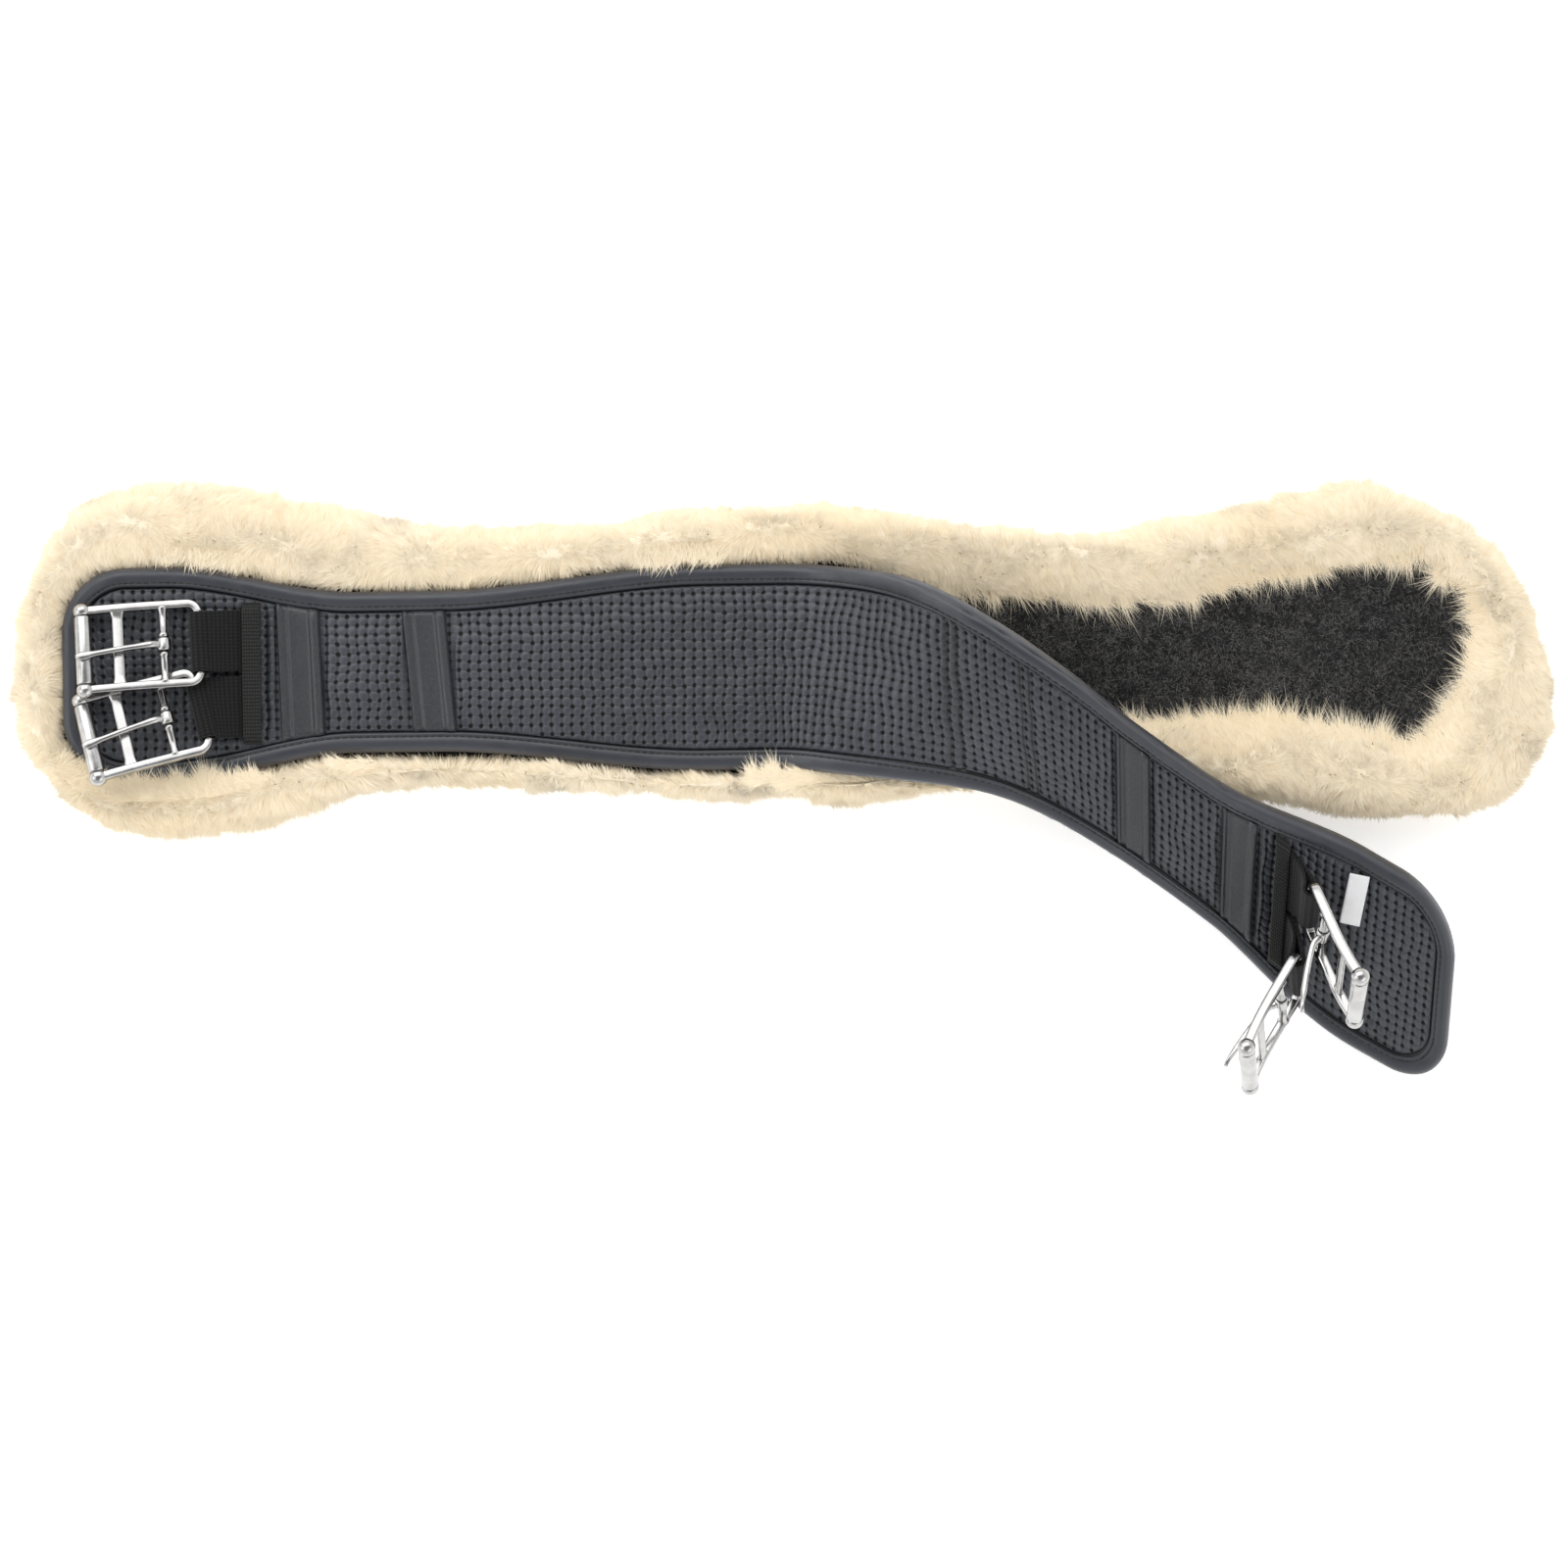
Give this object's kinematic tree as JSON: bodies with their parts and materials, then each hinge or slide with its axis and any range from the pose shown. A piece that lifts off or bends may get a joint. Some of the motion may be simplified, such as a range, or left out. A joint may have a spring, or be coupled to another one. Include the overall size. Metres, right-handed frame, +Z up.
{
  "type": "dressage girth",
  "caption": "Short padded dressage girth with roller buckles on elastic loops, its free half peeled off a detachable sheepskin liner.",
  "frame": {"origin": "on the surface the girth lies on, below the middle of the sheepskin liner", "axes": "+X along the girth towards the free end of the strap, +Y towards the girth's upper edge in the picture, +Z up"},
  "size_m": [0.6598, 0.2611, 0.0932],
  "materials": {
    "wool": "shorn sheepskin pile, matt",
    "hide": "natural skin side, matt",
    "loop_fabric": "brushed loop fabric, matt",
    "leather": "rolled black leather, soft sheen",
    "weave": "perforated black leather with a basket-weave press",
    "foam": "closed-cell foam, matt",
    "webbing": "black woven webbing, matt",
    "elastic": "black ribbed elastic webbing, matt",
    "steel": "polished stainless steel",
    "label": "white woven ribbon"
  },
  "bodies": {
    "liner": {"fleece_rolled_edge": "wool", "fleece_underside": "wool", "sheepskin_hide": "hide", "loop_fabric_panel": "loop_fabric"},
    "strap_left": {"left_backing": "leather", "left_core_webbing": "webbing", "left_cross_tape": "webbing", "left_edge_binding": "leather", "left_foam_pad": "foam", "left_hook_patch": "loop_fabric", "left_inner_cross_band": "leather", "left_outer_cross_band": "leather", "left_top_cover": "weave"},
    "strap_right": {"right_backing": "leather", "right_core_webbing": "webbing", "right_cross_tape": "webbing", "right_edge_binding": "leather", "right_foam_pad": "foam", "right_hook_patch": "loop_fabric", "right_inner_cross_band": "leather", "right_outer_cross_band": "leather", "right_top_cover": "weave", "care_label": "label"},
    "left_upper_loop": {"left_upper_elastic_loop": "elastic"},
    "left_upper_frame": {"left_upper_buckle_frame": "steel"},
    "left_upper_roller": {"left_upper_buckle_roller": "steel"},
    "left_upper_tongue": {"left_upper_buckle_tongue": "steel"},
    "left_lower_loop": {"left_lower_elastic_loop": "elastic"},
    "left_lower_frame": {"left_lower_buckle_frame": "steel"},
    "left_lower_roller": {"left_lower_buckle_roller": "steel"},
    "left_lower_tongue": {"left_lower_buckle_tongue": "steel"},
    "right_upper_loop": {"right_upper_elastic_loop": "elastic"},
    "right_upper_frame": {"right_upper_buckle_frame": "steel"},
    "right_upper_roller": {"right_upper_buckle_roller": "steel"},
    "right_upper_tongue": {"right_upper_buckle_tongue": "steel"},
    "right_lower_loop": {"right_lower_elastic_loop": "elastic"},
    "right_lower_frame": {"right_lower_buckle_frame": "steel"},
    "right_lower_roller": {"right_lower_buckle_roller": "steel"},
    "right_lower_tongue": {"right_lower_buckle_tongue": "steel"}
  },
  "joints": [
    {"name": "liner_release", "type": "slide", "parent": "liner", "child": "strap_left", "axis": [0, 0, 1], "range_m": [0, 0.12]},
    {"name": "free_end_lift", "type": "hinge", "parent": "strap_left", "child": "strap_right", "pos_m": [-0.008, -0.0027, 0.0277], "axis": [0.014, -0.9999, 0], "range_deg": [0, 35]},
    {"name": "left_upper_elastic_stretch", "type": "slide", "parent": "strap_left", "child": "left_upper_loop", "axis": [-0.9999, -0.014, 0], "range_m": [0, 0.006], "stiffness_N_per_m": 4000},
    {"name": "left_upper_buckle_swing", "type": "hinge", "parent": "left_upper_loop", "child": "left_upper_frame", "pos_m": [-0.2486, 0.0072, 0.0332], "axis": [-0.082, 0.9711, -0.224], "range_deg": [0, 60]},
    {"name": "left_upper_roller_spin", "type": "hinge", "parent": "left_upper_frame", "child": "left_upper_roller", "pos_m": [-0.29746, 0.00351, 0.03508], "axis": [-0.082, 0.9711, -0.224], "continuous": true},
    {"name": "left_upper_tongue_turn", "type": "hinge", "parent": "left_upper_frame", "child": "left_upper_tongue", "pos_m": [-0.26352, 0.00621, 0.03437], "axis": [-0.082, 0.9711, -0.224], "range_deg": [0, 90]},
    {"name": "left_lower_elastic_stretch", "type": "slide", "parent": "strap_left", "child": "left_lower_loop", "axis": [-0.9999, -0.014, 0], "range_m": [0, 0.006], "stiffness_N_per_m": 4000},
    {"name": "left_lower_buckle_swing", "type": "hinge", "parent": "left_lower_loop", "child": "left_lower_frame", "pos_m": [-0.2476, -0.0213, 0.0336], "axis": [-0.258, 0.9371, -0.235], "range_deg": [0, 60]},
    {"name": "left_lower_roller_spin", "type": "hinge", "parent": "left_lower_frame", "child": "left_lower_roller", "pos_m": [-0.29496, -0.03393, 0.03524], "axis": [-0.258, 0.9371, -0.235], "continuous": true},
    {"name": "left_lower_tongue_turn", "type": "hinge", "parent": "left_lower_frame", "child": "left_lower_tongue", "pos_m": [-0.26209, -0.02502, 0.03469], "axis": [-0.258, 0.9371, -0.235], "range_deg": [0, 90]},
    {"name": "right_upper_elastic_stretch", "type": "slide", "parent": "strap_right", "child": "right_upper_loop", "axis": [0.826, -0.5424, -0.1537], "range_m": [0, 0.006], "stiffness_N_per_m": 4000},
    {"name": "right_upper_buckle_swing", "type": "hinge", "parent": "right_upper_loop", "child": "right_upper_frame", "pos_m": [0.2218, -0.1038, 0.049], "axis": [0.0499, -0.5586, -0.8279], "range_deg": [-50, 3]},
    {"name": "right_upper_roller_spin", "type": "hinge", "parent": "right_upper_frame", "child": "right_upper_roller", "pos_m": [0.2379, -0.14174, 0.07557], "axis": [-0.0499, 0.5586, 0.8279], "continuous": true},
    {"name": "right_upper_tongue_turn", "type": "hinge", "parent": "right_upper_frame", "child": "right_upper_tongue", "pos_m": [0.22614, -0.11558, 0.05721], "axis": [0.0499, -0.5586, -0.8279], "range_deg": [-30, 80]},
    {"name": "right_lower_elastic_stretch", "type": "slide", "parent": "strap_right", "child": "right_lower_loop", "axis": [0.826, -0.5424, -0.1537], "range_m": [0, 0.003], "stiffness_N_per_m": 4000},
    {"name": "right_lower_buckle_swing", "type": "hinge", "parent": "right_lower_loop", "child": "right_lower_frame", "pos_m": [0.2182, -0.1335, 0.036], "axis": [0.1398, -0.5293, -0.8369], "range_deg": [-8, 35]},
    {"name": "right_lower_roller_spin", "type": "hinge", "parent": "right_lower_frame", "child": "right_lower_roller", "pos_m": [0.19482, -0.17159, 0.05619], "axis": [-0.1398, 0.5293, 0.8369], "continuous": true},
    {"name": "right_lower_tongue_turn", "type": "hinge", "parent": "right_lower_frame", "child": "right_lower_tongue", "pos_m": [0.21052, -0.14493, 0.04195], "axis": [0.1398, -0.5293, -0.8369], "range_deg": [-8, 65]}
  ],
  "couplings": [
    {"joint": "left_lower_buckle_swing", "follows": "left_upper_buckle_swing", "ratio": 1},
    {"joint": "left_upper_elastic_stretch", "follows": "left_lower_elastic_stretch", "ratio": 1}
  ]
}
